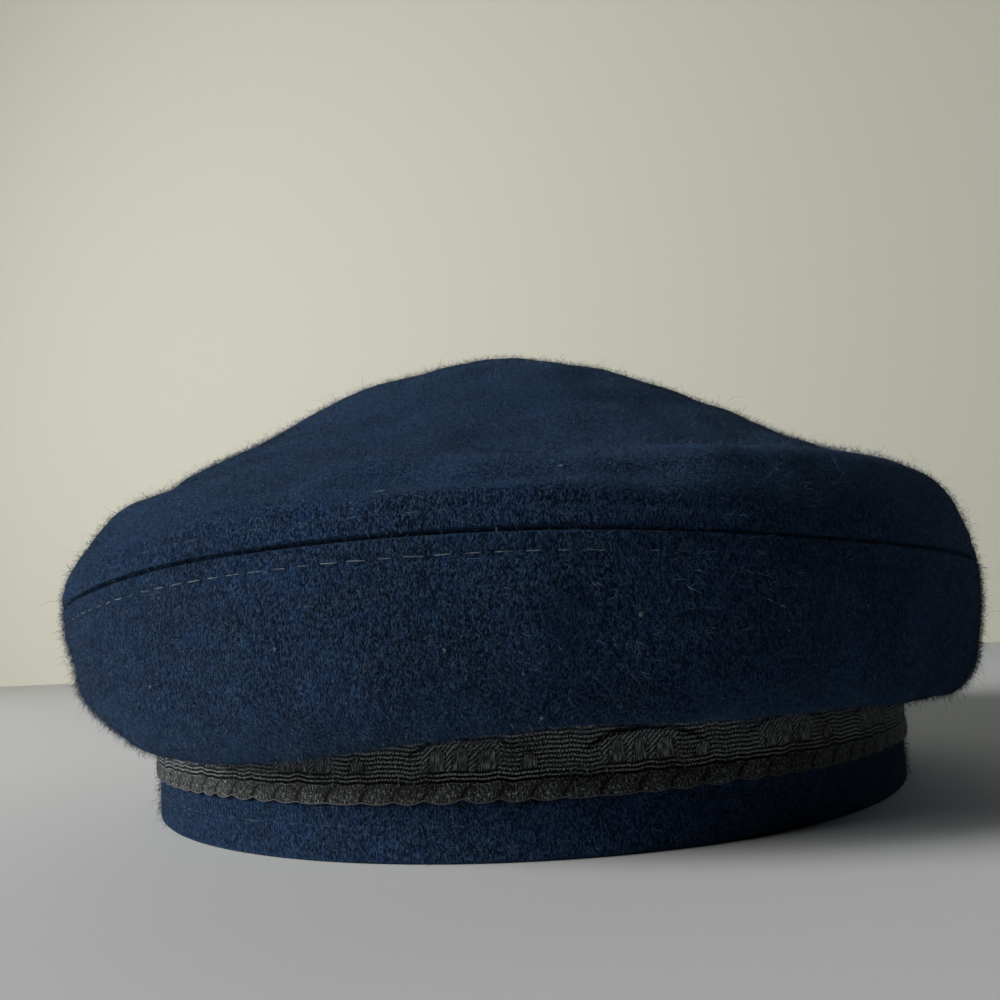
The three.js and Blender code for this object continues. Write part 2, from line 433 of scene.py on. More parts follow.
def black_braid():
    """Threads of a jacquard ribbon: beaded ribs, satin floats on the leaves, slanted veins between them, with
    painted shade in their gaps and painted glints on their high places.
    """
    braid = Finish("black_braid", Roughness=0.65, Specular_IOR_Level=0.15)
    along = braid.flat.node("ShaderNodeSeparateXYZ", {}, {"Vector": braid.flat})
    height = along.beside("Y")
    pattern_and_shade_masks = braid.painted("Color")
    stalk = pattern_and_shade_masks.node("ShaderNodeSeparateColor", {}, {"Color": pattern_and_shade_masks})
    strip = stalk.beside("Green")

    def threads(size):
        """Uneven threads of a size, around 0."""
        laid = braid.flat.stretched((1 / size[0], 1 / size[1], 0))
        return laid.node("ShaderNodeTexNoise", {}, {"Vector": laid, "Scale": 1.0, "Detail": 1.0}) - 0.5

    slip = braid.place.noise(SLIP["size"], Detail=1.0) - 0.5
    pull = braid.place.noise(PULL["size"], Detail=1.0) - 0.5
    fray = threads(FRAYED_THREAD)
    upper = height.maths("GREATER_THAN", TRIM_HEIGHT / 2)
    from_edge = height.maths("MINIMUM", TRIM_HEIGHT - height) + slip * SLIP["height"]
    turned = LEAF_SHIFT / leaf_repeat - along / leaf_repeat + upper * 0.5
    place = turned.maths("FRACT") * leaf_repeat + slip * SLIP["leaf"]
    above = from_edge - LEAF_FOOT
    inside = above * 0 - 1
    for lobe in LEAF_LOBES:
        off = (place - lobe["middle"] - above * LEAF_SLANT) / (lobe["width"] / 2)
        from_side = (1 - off.maths("ABSOLUTE")) * (lobe["width"] / 2)
        from_tip = lobe["tall"] - above - off * off * LOBE_ROUND
        inside = inside.maths("MAXIMUM", from_side.maths("MINIMUM", from_tip).maths("MINIMUM", above))
    ragged = inside + fray * RAGGED["leaf"]
    leaf = ragged.ramp(*LEAF_EDGE)
    # Round each leaf lies an outline painted dark as its shade
    outline = ragged.ramp(*LEAF_OUTLINE_SHADE) * (1 - leaf)
    veined = place.ramp(VEINED["from"], VEINED["from"] + 1) * place.ramp(VEINED["to"], VEINED["to"] - 1)
    veined = veined * above.ramp(0, 0.2) * above.ramp(VEINED["tall"], VEINED["tall"] - 0.8) * (1 - leaf)

    def waved(turn):
        """A soft wave between 0 and 1, once in each whole turn."""
        return (turn * FULL_TURN).maths("COSINE") * 0.5 + 0.5

    row = (from_edge - GROOVES[0]["height"]) / RIB_PITCH
    ribs = 0.5 - (row * FULL_TURN).maths("COSINE") * 0.5
    beads = waved(along * (BEADS / trim_length) + row.maths("FLOOR") * 0.5 + slip * SLIP["bead"])
    veins = waved((place - above * VEIN_SLANT) / VEIN_PITCH + slip * SLIP["vein"])
    groove = from_edge * 0
    for line in GROOVES:
        beside = (from_edge - line["height"]).maths("ABSOLUTE")
        groove = groove.maths("MAXIMUM", 1 - beside.ramp(line["width"] * 0.3, line["width"]))

    distinct = pull.ramp(*PULL["beads"])
    beaded = ribs ** 0.5 * (beads * BEADED["beads"] + BEADED["light"]) * (distinct * 0.50 + 0.50)
    beaded = beaded + (1 - distinct) * BEADED["worn"] + fray * BEADED["fray"]
    slanted = veins * SLANTED["veins"] + SLANTED["light"] + fray * SLANTED["fray"]
    satin = threads(SATIN_THREAD) * SATIN["threads"] + SATIN["light"]
    ribbed = threads(RIBBED_THREAD) * RIBBED["threads"] + fray * RIBBED["fray"] + RIBBED["light"]
    plain = (1 - leaf) * (1 - strip) * (1 - veined)
    laid = beaded * plain + slanted * veined + satin * leaf + ribbed * strip

    crossed = groove * threads(CROSSING_THREAD).ramp(*CROSSING_STEP)
    passed = scallop_count(along + from_edge * from_edge * CREASE_SLANT, lambda turn: turn.maths("SINE"))
    off = (passed.maths("FRACT") * 2 - 1).maths("ABSOLUTE") + fray * RAGGED["scallop"]
    crease_shade = off.ramp(*CREASE_STEP) * pull.ramp(*PULL["creases"]) * from_edge.ramp(*CREASE_HEIGHTS)
    # Painted shade in the creases and on the sides of each scallop
    scallop = crease_shade * SUNK["crease_shade"] + off ** 3 * SUNK["scallop_side_shade"]
    # Painted shade in the grooves, lighter where threads cross them, on the stalk and round the leaves
    sunk = groove * (pull * SUNK["tight_groove"] + SUNK["groove"]) - crossed * SUNK["crossing"]
    sunk = sunk + stalk * pull.ramp(*PULL["stalk"]) + outline * SUNK["outline"] + scallop * strip
    level = laid + pull * PULL["light"] - sunk
    # Low places are painted as gap shade, high places as bright painted glints
    base = level.ramp(*THREAD_LEVELS).blend(BRAID_GAP_SHADE, BRAID_THREAD)
    braid.vary("Base Color", level.ramp(*GLINT_LEVELS).blend(base, BRAID_GLINT))
    braid.bump(level, depth_mm=0.3, strength=0.9)
    return braid.material


braid_finish = black_braid()

# The upper half, mostly under the crown, takes every second row of the lower one
strip_rows = np.linspace(0, STRIP_HEIGHT, STRIP_ROWS)
leaf_rows = np.linspace(LEAF_ROWS["from"], TRIM_HEIGHT / 2, LEAF_ROWS["count"])
half_rows = np.concatenate([strip_rows, GROOVE_ROWS, leaf_rows])
level_height = np.concatenate([TRIM_HEIGHT - half_rows[:-1:2], half_rows[::-1]])[None, :]
squeeze = 1 - np.minimum(level_height, TRIM_HEIGHT - level_height).clip(0, STRIP_HEIGHT) / STRIP_HEIGHT
face_height = level_height + draw_in * squeeze * np.sign(TRIM_HEIGHT / 2 - level_height)
face_height = face_height + pucker * (1 - squeeze)
relief, face_masks = ribbon_face(trim_along, level_height)
back_height = np.concatenate([draw_in, TRIM_HEIGHT - draw_in], axis=1)
trim_reach = np.concatenate([TRIM_FACE + relief, np.full(back_height.shape, TRIM_BACK)], axis=1)
trim_height = np.concatenate([face_height, back_height], axis=1) + TRIM_BOTTOM + front_lift(trim_turns)
trim_masks = np.concatenate([face_masks, face_masks[:, :2]], axis=1)
ribbon = sewn_grid(on_head(trim_turns, trim_reach, trim_height), masks=trim_masks)
flat_height = np.append(level_height[0], [0, TRIM_HEIGHT, TRIM_HEIGHT])
cloth_map = ribbon.loops.layers.uv["cloth"]
for ribbon_part in ribbon.faces:
    for loop in ribbon_part.loops:
        spot = loop[cloth_map].uv
        loop[cloth_map].uv = (spot.x * trim_length, flat_height[round(spot.y * (len(flat_height) - 1))])
made_piece("trim_braid", ribbon, braid_finish, "trim")

cord_finish = Finish("edge_cord", Roughness=0.8)
cord_twist = cord_finish.place.noise(CORD_TWIST["size"], Detail=1.0)
cord_shade = cord_twist.ramp(*CORD_TWIST["step"])
cord_finish.vary("Base Color", cord_shade.blend(BRAID_THREAD, CORD_GREY))
round_angles = np.linspace(0, FULL_TURN, CORD_SIDES, endpoint=False)[None, :]
for edge_name, edge_height in (("lower", draw_in), ("upper", TRIM_HEIGHT - draw_in)):
    cord_reach = TRIM_FACE - CORD_SUNK + CORD_RADIUS * np.cos(round_angles) + 0 * trim_along
    cord_height = edge_height + CORD_RADIUS * np.sin(round_angles) + TRIM_BOTTOM + front_lift(trim_turns)
    cord_points = on_head(trim_turns, cord_reach, cord_height)
    made_piece(f"trim_{edge_name}_cord", sewn_grid(cord_points), cord_finish.material)


# Peak: a short stiffened crescent covered in the same wool, sewn under the band's front edge.
# It slopes forward to the table, a little arched, with a rounded rim.
PEAK_SPREAD = 62.0
PEAK_ENDS = 0.995
PEAK_COLUMNS = 150
PEAK_STEPS = 24
PEAK_REACH = 40.0
PEAK_TAPER = 1.1
PEAK_WALL = 2.6
PEAK_END_WALL = 1.0
PEAK_TUCK = 2.6
PEAK_CAMBER = 3.0
PEAK_END_RISE = 3.0
PEAK_GAP = 0.05
RIM_DEGREES = 60
RIM_STEPS = 7

from_front = np.linspace(-PEAK_ENDS, PEAK_ENDS, PEAK_COLUMNS)[:, None]
peak_turns = 180 + PEAK_SPREAD * from_front
peak_share = np.cos(np.abs(from_front) * np.pi / 2) ** PEAK_TAPER
peak_wall = PEAK_END_WALL + (PEAK_WALL - PEAK_END_WALL) * np.minimum(1, 2 * peak_share)
root_height = front_lift(peak_turns) - PEAK_GAP - peak_wall
peak_drop = PEAK_END_RISE * from_front ** 2 - root_height

# The under face, from the band at 0 to the rim at 1
out_steps = np.linspace(0, 1, PEAK_STEPS)[None, :]
under_reach = BAND_REACH + PEAK_REACH * peak_share * out_steps
camber = PEAK_CAMBER * np.sin(out_steps * np.pi)
under_height = root_height + peak_share * (peak_drop * out_steps + camber)
rim_angles = np.radians(np.linspace(-RIM_DEGREES, RIM_DEGREES, RIM_STEPS))[None, :]
rim_round = peak_wall / 2 * np.minimum(1, peak_share * 6)
rim_reach = under_reach[:, -1:] + rim_round * (np.cos(rim_angles) - 1)
rim_height = under_height[:, -1:] + peak_wall / 2 * (1 + np.sin(rim_angles))
body_reach = under_reach - rim_round * out_steps
tuck_reach = np.full(peak_turns.shape, BAND_REACH - PEAK_TUCK)
peak_reach = np.concatenate([tuck_reach, body_reach, rim_reach, body_reach[:, ::-1], tuck_reach], axis=1)
over_height = under_height[:, ::-1] + peak_wall
tuck_height = root_height + peak_wall
peak_height = np.concatenate([root_height, under_height, rim_height, over_height, tuck_height], axis=1)
peak_points = on_head(peak_turns, peak_reach, peak_height)
crescent = sewn_grid(peak_points, turns_close=False)
bmesh.ops.holes_fill(crescent, edges=[edge for edge in crescent.edges if edge.is_boundary], sides=0)
bmesh.ops.recalc_face_normals(crescent, faces=crescent.faces)
made_piece("peak_wool", crescent, navy_wool, "peak")


# Crown: two panels of the same wool, a side ring that droops over the band in a soft fold
# and an oval top that is pushed up like a tent; their edges meet in one seam round the cap.
CLOTH = 2.0
CROWN_TURNS = 360
SEAM_GAP = 0.04
SEAM_GROOVE = {"depth": 1.3, "width": 0.28}
STITCH_VALLEY = {"depth": 0.22, "width": 0.8, "from_seam": 3.4}
ROLL_RISE = 2.2
ROLL_WIDTH = 2.6
TOP_REACHES = (78.0, 62.0, 42.0)
TOP_MIDDLE = (0.0, 99.5)
TOP_EASE = (20.0, 96.3)
# The cloth's unevenness: small lumps, and billows that each panel has its own height of
LUMP_WAVES = 14
SMALL_LUMPS = {"height": 0.16, "size": 2.6}
BILLOW_SIZE = 6.0
LUMPS_FADE = 6
# Rows of points down each panel: how many outside and inside, and how they gather at the seam
SIDE_ROWS = {"outer": 84, "inner": 26, "gather": 1.6}
TOP_ROWS = {"outer": 110, "inner": 24, "gather": 1.4}
# Reach and height of the crown's lines, and the top's heights at its three reaches: one row every
# 30 degrees from the back of the head towards the wearer's left ear
SECTION_TURN = 30
CROWN_SECTIONS = [
    {"fold": (97, 20.5), "belly": (100.5, 29.5), "seam": (100.5, 47.5),
     "rim": (91, 59.5), "top": (63.5, 74, 88)},
    {"fold": (94.5, 16.4), "belly": (100.5, 27.5), "seam": (100.5, 47),
     "rim": (85, 63.5), "top": (67, 76, 88)},
    {"fold": (92.5, 20.5), "belly": (99.5, 31.5), "seam": (101.5, 43.3),
     "rim": (80, 66), "top": (69, 77, 89)},
    {"fold": (88.5, 22), "belly": (95, 31.5), "seam": (100.5, 44),
     "rim": (88, 64.5), "top": (73.5, 82.5, 91)},
    {"fold": (91, 27), "belly": (96.5, 36.5), "seam": (100, 50),
     "rim": (89.5, 66), "top": (74, 82, 90)},
    {"fold": (93, 35.5), "belly": (98, 45.5), "seam": (99.5, 59),
     "rim": (91, 71), "top": (76, 82.5, 89.5)},
    {"fold": (93, 44), "belly": (98.5, 54), "seam": (99, 66),
     "rim": (91, 77), "top": (80, 85, 89.5)},
    {"fold": (93.5, 35.5), "belly": (98, 45.5), "seam": (98.5, 59),
     "rim": (91, 71), "top": (75, 82, 89)},
    {"fold": (93, 26), "belly": (97.5, 35), "seam": (98, 49.5),
     "rim": (90.5, 64), "top": (70, 78.5, 88)},
    {"fold": (92, 19), "belly": (97, 27), "seam": (98, 41),
     "rim": (89.5, 60), "top": (66.5, 76, 87)},
    {"fold": (93.5, 18.5), "belly": (99, 27.5), "seam": (100, 42),
     "rim": (91, 60), "top": (66, 75.7, 87.3)},
    {"fold": (95.5, 19.5), "belly": (100.5, 28.5), "seam": (100.5, 44.5),
     "rim": (91, 60.5), "top": (64, 74, 87.5)},
]
# Small steps in reach and height from those lines to the points between them
SIDE_SHOULDER = (0.5, 1.0)
BELLY_RISE = (0, 1.0)
BELLY_TURN = (-1.6, -5.5)
FOLD_BACK = (-2.8, 2.8)
BAND_EDGE = {"below": 1.0, "above": 0.3}
RIM_SHOULDER = (0.5, -4.5)
SEAM_SHOULDER = (-1.0, 5.5)


def smooth_run(rows, at, closed):
    """Rows of numbers carried smoothly from one to the next; at counts rows and may be a fraction."""
    count = len(rows)
    first = np.floor(at).astype(int)
    if not closed:
        first = np.minimum(first, count - 2)
    share = (at - first).reshape(-1, *[1] * (rows.ndim - 1))
    picks = [first + step for step in (-1, 0, 1, 2)]
    picks = [pick % count if closed else np.clip(pick, 0, count - 1) for pick in picks]
    before, start, end, after = (rows[pick] for pick in picks)
    rise = (end - before) * share
    bend = (2 * before - 5 * start + 4 * end - after) * share ** 2
    twist = (3 * start - before - 3 * end + after) * share ** 3
    return start + (rise + bend + twist) / 2


crown_turns = np.arange(CROWN_TURNS) * 360 / CROWN_TURNS


def column(name):
    """One column of the section table at every turn of the crown."""
    rows = np.array([row[name] for row in CROWN_SECTIONS], dtype=float)
    return smooth_run(rows, crown_turns / SECTION_TURN, closed=True)


def at_reach(reach, height):
    return np.stack(np.broadcast_arrays(reach, height), axis=-1).astype(float)


def soft_lumps(places, size_mm, seed):
    """Gentle unevenness between -1 and 1, the same at each run."""
    draw = np.random.default_rng(seed)
    waves = draw.normal(size=(LUMP_WAVES, 3)) / (size_mm * MM)
    shifts = draw.uniform(0, 2 * np.pi, LUMP_WAVES)
    return np.sin(places @ waves.T + shifts).mean(axis=-1) * 2


def cloth_wall(path, outer_at, inner_at, seam_first, edge_normals, billow, seed):
    """Outer and inner face of a panel whose section follows a path down from the crown's middle,
    and how deep in the seam each outer point lies."""
    count = len(path) - 1
    rows = np.stack(path)
    outer = smooth_run(rows, outer_at * count, closed=False)
    tangent = np.gradient(outer, axis=0)
    tangent /= np.linalg.norm(tangent, axis=-1, keepdims=True)
    outward = np.stack([-tangent[..., 1], tangent[..., 0]], axis=-1)
    outward[0], outward[-1] = edge_normals
    lengths = np.concatenate([np.zeros((1, CROWN_TURNS)), np.linalg.norm(np.diff(outer, axis=0), axis=-1)])
    from_seam = np.cumsum(lengths, axis=0)
    if not seam_first:
        from_seam = from_seam[-1] - from_seam
    groove = np.exp(-(from_seam / SEAM_GROOVE["width"]) ** 2)
    off_row = (from_seam - STITCH_VALLEY["from_seam"]) / STITCH_VALLEY["width"]
    valley = STITCH_VALLEY["depth"] * np.exp(-off_row ** 2)
    places = on_head(crown_turns[None, :], outer[..., 0], outer[..., 1])
    fade = 1 - np.exp(-(from_seam / LUMPS_FADE) ** 2)
    small = SMALL_LUMPS["height"] * soft_lumps(places, SMALL_LUMPS["size"], seed)
    lumps = fade * (small + billow * soft_lumps(places, BILLOW_SIZE, seed + 1))
    raised = outer + outward * (lumps - SEAM_GROOVE["depth"] * groove - valley)[..., None]
    picked = np.searchsorted(outer_at, inner_at)
    inner = (outer - outward * CLOTH)[picked]
    return raised, inner[::-1], groove


seam = column("seam")
belly = column("belly")
fold = column("fold")
rim = column("rim")
top_heights = column("top")
band_top = front_lift(crown_turns) + BAND_HEIGHT

INWARDS = (1, 0)
UPWARDS = (0, 1)
side_path = [
    seam - (0, SEAM_GAP / 2),
    (belly + seam) / 2 + SIDE_SHOULDER,
    belly + BELLY_RISE,
    belly + BELLY_TURN,
    fold,
    fold + FOLD_BACK,
    at_reach(BAND_REACH + ROLL_WIDTH, band_top - BAND_EDGE["below"]),
    at_reach(BAND_REACH + ROLL_WIDTH / 2, band_top + ROLL_RISE),
    at_reach(BAND_REACH, band_top + BAND_EDGE["above"]),
]
side_outer_at = np.linspace(0, 1, SIDE_ROWS["outer"]) ** SIDE_ROWS["gather"]
side_inner_at = np.linspace(0, 1, SIDE_ROWS["inner"])
side_outer, side_inner, side_groove = cloth_wall(
    side_path, side_outer_at, side_inner_at, True, (INWARDS, INWARDS), billow=0.55, seed=11)

top_path = [
    at_reach(np.full(CROWN_TURNS, TOP_MIDDLE[0]), TOP_MIDDLE[1]),
    at_reach(np.full(CROWN_TURNS, TOP_EASE[0]), TOP_EASE[1]),
    at_reach(TOP_REACHES[2], top_heights[:, 2]),
    at_reach(TOP_REACHES[1], top_heights[:, 1]),
    at_reach(TOP_REACHES[0], top_heights[:, 0]),
    rim,
    at_reach((seam[:, 0] + rim[:, 0]) / 2 + RIM_SHOULDER[0], rim[:, 1] + RIM_SHOULDER[1]),
    seam + SEAM_SHOULDER,
    seam + (0, SEAM_GAP / 2),
]
top_outer_at = 1 - (1 - np.linspace(0, 1, TOP_ROWS["outer"])) ** TOP_ROWS["gather"]
top_inner_at = np.linspace(0, 1, TOP_ROWS["inner"])
top_outer, top_inner, top_groove = cloth_wall(
    top_path, top_outer_at, top_inner_at, False, (UPWARDS, INWARDS), billow=0.60, seed=21)
top_outer[0] = TOP_MIDDLE
top_inner[-1] = (TOP_MIDDLE[0], TOP_MIDDLE[1] - CLOTH)


def panel(outer, inner, groove, outline_closes):
    """A panel's cloth, sewn from its two faces, with painted shade inside the seam."""
    section = np.concatenate([outer, inner]).transpose(1, 0, 2)
    # How deep in the seam each point lies is the mask of its painted shade
    shade = np.concatenate([groove, np.zeros(inner.shape[:2])]).T
    points = on_head(crown_turns[:, None], section[..., 0], section[..., 1])
    return sewn_grid(points, outline_closes=outline_closes, masks=np.repeat(shade[..., None], 4, axis=-1))


side_panel = panel(side_outer, side_inner, side_groove, True)
made_piece("crown_side_wool", side_panel, navy_wool, "crown_side")
top_panel = panel(top_outer, top_inner, top_groove, False)
made_piece("crown_top_wool", top_panel, navy_wool, "crown_top")


# Seam stitches: a row of pale thread below the crown's seam and one above it, both sunk in the nap,
# and a finer row along the band's hem. Each stitch is one short loop of thread.
THREAD_PALE = (0.130, 0.170, 0.205, 1.0)
THREAD_SUNK = (0.052, 0.078, 0.112, 1.0)
THREAD_WEAR = {"size": 1.6, "dull": 0.35, "step": (0.28, 0.58)}
SEAM_STITCH = {"pitch": 4.1, "length": 3.0, "thick": 0.115, "sunk": 0.00, "tight": 0.10}
TOP_STITCH = {"pitch": 4.1, "length": 2.9, "thick": 0.100, "sunk": 0.08, "tight": 0.06}
HEM_STITCH = {"pitch": 3.2, "length": 2.7, "thick": 0.085, "sunk": 0.02, "tight": 0.08}
HEM_STITCH_HEIGHT = 5.6
GROOVE_RUN = 0.85
# How far stitches differ in length, depth and direction, and where across the cap, in metres
# from the head's middle, the thread begins to be drawn tight and is tightest
STITCH_LENGTHS = (0.65, 1.1)
STITCH_DEPTHS = (-0.04, 0.07)
STITCH_TURN = 0.04
TIGHT_FROM, TIGHTEST = 0.005, -0.025


def thread_finish(name, colour):
    """Dyed thread, dulled where it is worn."""
    thread = Finish(name, Roughness=0.8, Specular_IOR_Level=0.15)
    wear = thread.place.noise(THREAD_WEAR["size"], Detail=2.0)
    dull = tuple(THREAD_WEAR["dull"] * part for part in colour[:3]) + (1.0,)
    thread.vary("Base Color", wear.ramp(*THREAD_WEAR["step"]).blend(dull, colour))
    return thread.material


def evenly(ring, pitch):
    """Middles and directions of stitches along a ring of points."""
    line = np.concatenate([ring, ring[:1]])
    along = np.concatenate([[0], np.cumsum(np.linalg.norm(np.diff(line, axis=0), axis=-1))])
    count = round(along[-1] / (pitch * MM))
    places = (np.arange(count) + 0.5) * along[-1] / count
    spots = [np.stack([np.interp(places + shift * MM, along, part) for part in line.T], axis=-1)
             for shift in (-0.5, 0, 0.5)]
    ahead = spots[2] - spots[0]
    return spots[1], ahead / np.linalg.norm(ahead, axis=-1, keepdims=True)


def stitch_row(name, ring, outward, sizes, finish, seed):
    """A row of stitches along a ring; outward gives the way out of the cloth at each point of it."""
    draw = np.random.default_rng(seed)
    middles, ahead = evenly(ring, sizes["pitch"])
    nearest = [np.argmin(np.linalg.norm(ring - middle, axis=-1)) for middle in middles]
    row = bmesh.new()
    for middle, forward, out in zip(middles, ahead, outward[nearest]):
        length = sizes["length"] * draw.uniform(*STITCH_LENGTHS)
        tight = sizes["tight"] * soft_step(TIGHT_FROM, TIGHTEST, middle[0] - HEAD_X)
        sink = sizes["sunk"] + tight + draw.uniform(*STITCH_DEPTHS)
        turn = draw.normal(0, STITCH_TURN)
        side = np.cross(out, forward)
        axes = np.stack([forward + turn * side, side - turn * forward, out], axis=-1)
        frame_at = Matrix(axes.tolist()).to_4x4()
        frame_at.translation = middle - out * sink * MM
        shape = Matrix.Diagonal((length / 2 * MM, sizes["thick"] * MM, sizes["thick"] * MM, 1))
        bmesh.ops.create_uvsphere(row, u_segments=6, v_segments=5, radius=1,
                                  matrix=frame_at @ shape @ Matrix.Rotation(math.pi / 2, 4, "Y"))
    made_piece(name, row, finish)


def outward_of(outer):
    """The way out of the cloth at each point of a panel's outer face."""
    round_head = np.roll(outer, -1, axis=0) - np.roll(outer, 1, axis=0)
    down = np.gradient(outer, axis=1)
    out = np.cross(down, round_head)
    out /= np.maximum(np.linalg.norm(out, axis=-1, keepdims=True), 1e-12)
    middle = outer.reshape(-1, 3).mean(axis=0)
    return out * np.sign((out * (outer - middle)).sum())


def line_from_edge(outer, distance, from_end):
    """The ring of an outer face that lies a distance from its first or last edge, and the ways out there."""
    way = outer[:, ::-1] if from_end else outer
    steps = np.linalg.norm(np.diff(way, axis=1), axis=-1)
    along = np.concatenate([np.zeros((len(way), 1)), np.cumsum(steps, axis=1)], axis=1)
    at = (along < distance * MM).sum(axis=1)
    rows = np.arange(len(way))
    outs = outward_of(outer)[:, ::-1] if from_end else outward_of(outer)
    near, far = along[rows, at - 1], along[rows, at]
    part = ((distance * MM - near) / (far - near))[:, None]
    return way[rows, at - 1] * (1 - part) + way[rows, at] * part, outs[rows, at]


side_face = on_head(crown_turns[:, None], side_outer[..., 0].T, side_outer[..., 1].T)
top_face = on_head(crown_turns[:, None], top_outer[..., 0].T, top_outer[..., 1].T)
band_face = band_points[:, :BAND_FACE_STEPS]
pale_thread = thread_finish("pale_thread", THREAD_PALE)
sunk_thread = thread_finish("sunk_thread", THREAD_SUNK)
from_seam_edge = STITCH_VALLEY["from_seam"] + GROOVE_RUN
side_line = line_from_edge(side_face, from_seam_edge, False)
top_line = line_from_edge(top_face, from_seam_edge, True)
hem_line = line_from_edge(band_face, HEM_STITCH_HEIGHT - BAND_HEM_ROUND, True)
stitch_row("side_seam_stitches", *side_line, SEAM_STITCH, pale_thread, seed=5)
stitch_row("top_seam_stitches", *top_line, TOP_STITCH, sunk_thread, seed=6)
stitch_row("hem_stitches", *hem_line, HEM_STITCH, sunk_thread, seed=7)


# Lint: a few pale flecks and hairs of other cloth that have caught in the nap.
# A fleck is a tangle of short hairs; a lone hair lies along the wool.
LINT_PALE = (0.120, 0.150, 0.180, 1.0)
LINT_THICK = 0.075
LINT_LIFT = 0.15
LINT_SPREAD = (-0.15, 0.15)
LINT_LENGTHS = (0.6, 1.1)
# Panel, turn round the head and distance from the seam, then the hairs, their length and their tilt
LINT = [
    {"panel": "side", "turn": 35, "from_seam": 19.0, "hairs": 6, "long": 1.0, "tilt": 20},
    {"panel": "side", "turn": 20, "from_seam": 15.5, "hairs": 5, "long": 0.8, "tilt": 50},
    {"panel": "side", "turn": 6, "from_seam": 17.0, "hairs": 5, "long": 0.7, "tilt": 80},
    {"panel": "side", "turn": 359, "from_seam": 27.0, "hairs": 5, "long": 0.8, "tilt": 10},
    {"panel": "side", "turn": 351, "from_seam": 13.0, "hairs": 7, "long": 1.2, "tilt": 60},
    {"panel": "side", "turn": 330, "from_seam": 11.0, "hairs": 4, "long": 0.5, "tilt": 0},
    {"panel": "side", "turn": 354, "from_seam": 9.0, "hairs": 1, "long": 1.7, "tilt": -25},
    {"panel": "side", "turn": 26, "from_seam": 6.0, "hairs": 1, "long": 2.0, "tilt": 70},
    {"panel": "side", "turn": 40, "from_seam": 9.0, "hairs": 1, "long": 1.6, "tilt": 25},
    {"panel": "top", "turn": 356, "from_seam": 13.5, "hairs": 5, "long": 0.9, "tilt": 30},
    {"panel": "top", "turn": 11, "from_seam": 9.0, "hairs": 1, "long": 2.6, "tilt": 5},
]

lint_draw = np.random.default_rng(41)
lint_tufts = bmesh.new()
for fleck in LINT:
    on_top = fleck["panel"] == "top"
    ring, outward = line_from_edge(top_face if on_top else side_face, fleck["from_seam"], on_top)
    spot, out = Vector(ring[fleck["turn"]]), Vector(outward[fleck["turn"]])
    forward = (Vector(ring[fleck["turn"] - 1]) - spot).normalized()
    for hair in range(fleck["hairs"]):
        way = forward.copy()
        way.rotate(Matrix.Rotation(math.radians(fleck["tilt"] + hair * 180 / fleck["hairs"]), 3, out))
        lie = Matrix((way, out.cross(way), out)).transposed().to_4x4()
        lie.translation = spot + out * LINT_LIFT * MM + way * lint_draw.uniform(*LINT_SPREAD) * MM
        length = fleck["long"] * lint_draw.uniform(*LINT_LENGTHS)
        size = Matrix.Diagonal((length / 2 * MM, LINT_THICK * MM, LINT_THICK * MM, 1))
        bmesh.ops.create_icosphere(lint_tufts, subdivisions=1, radius=1, matrix=lie @ size)
made_piece("lint", lint_tufts, thread_finish("pale_lint", LINT_PALE))


# Nap: loose fibres of the milled wool, most of them lying nearly flat and some standing up,
# so that the cloth looks soft and its outline is slightly hairy. Those that stand are thin bent
# blades, and those that lie are thin straight slivers.
NAP_FINISHES = [
    {"name": "nap_navy", "colour": (0.0028, 0.0090, 0.0290, 1.0), "share": 0.52},
    {"name": "nap_blue", "colour": (0.0215, 0.0480, 0.0940, 1.0), "share": 0.42},
    {"name": "nap_pale", "colour": (0.0840, 0.1260, 0.1800, 1.0), "share": 0.06},
]
NAP_PATCHES = {"size": 2.4, "strength": 0.16, "seed": 51}
FIBRE_LENGTH = 1.3
LENGTH_SPREAD = 0.35
FIBRE_THICK = 0.032
THICK_SPREAD = (0.6, 1.3)
STANDING = {"share": 0.42, "length": 0.95}
STRAY = {"share": 0.030, "length": 2.0}
BENT_THICK = 0.7
# Angles in radians at which fibres rise, and the part of it that they keep past their middle
BENT_LIFT = (0.5, 1.35)
LYING_LIFT = (0.05, 0.4)
SAG = (-0.4, 0.9)
CURL = 0.9
TWIST = 0.5
ROOT_SUNK = 0.08
OFF_TABLE = 0.02
# Corners of a bent blade's two faces: root, both sides of its middle, tip
BLADE = [0, 1, 2, 3, 2, 1]

nap_materials = []
for nap_finish in NAP_FINISHES:
    fibre = Finish(nap_finish["name"], Base_Color=nap_finish["colour"], Roughness=0.8, Specular_IOR_Level=0.2)
    nap_materials.append(fibre.material)


def unit(ways):
    return ways / np.maximum(np.linalg.norm(ways, axis=-1, keepdims=True), 1e-12)


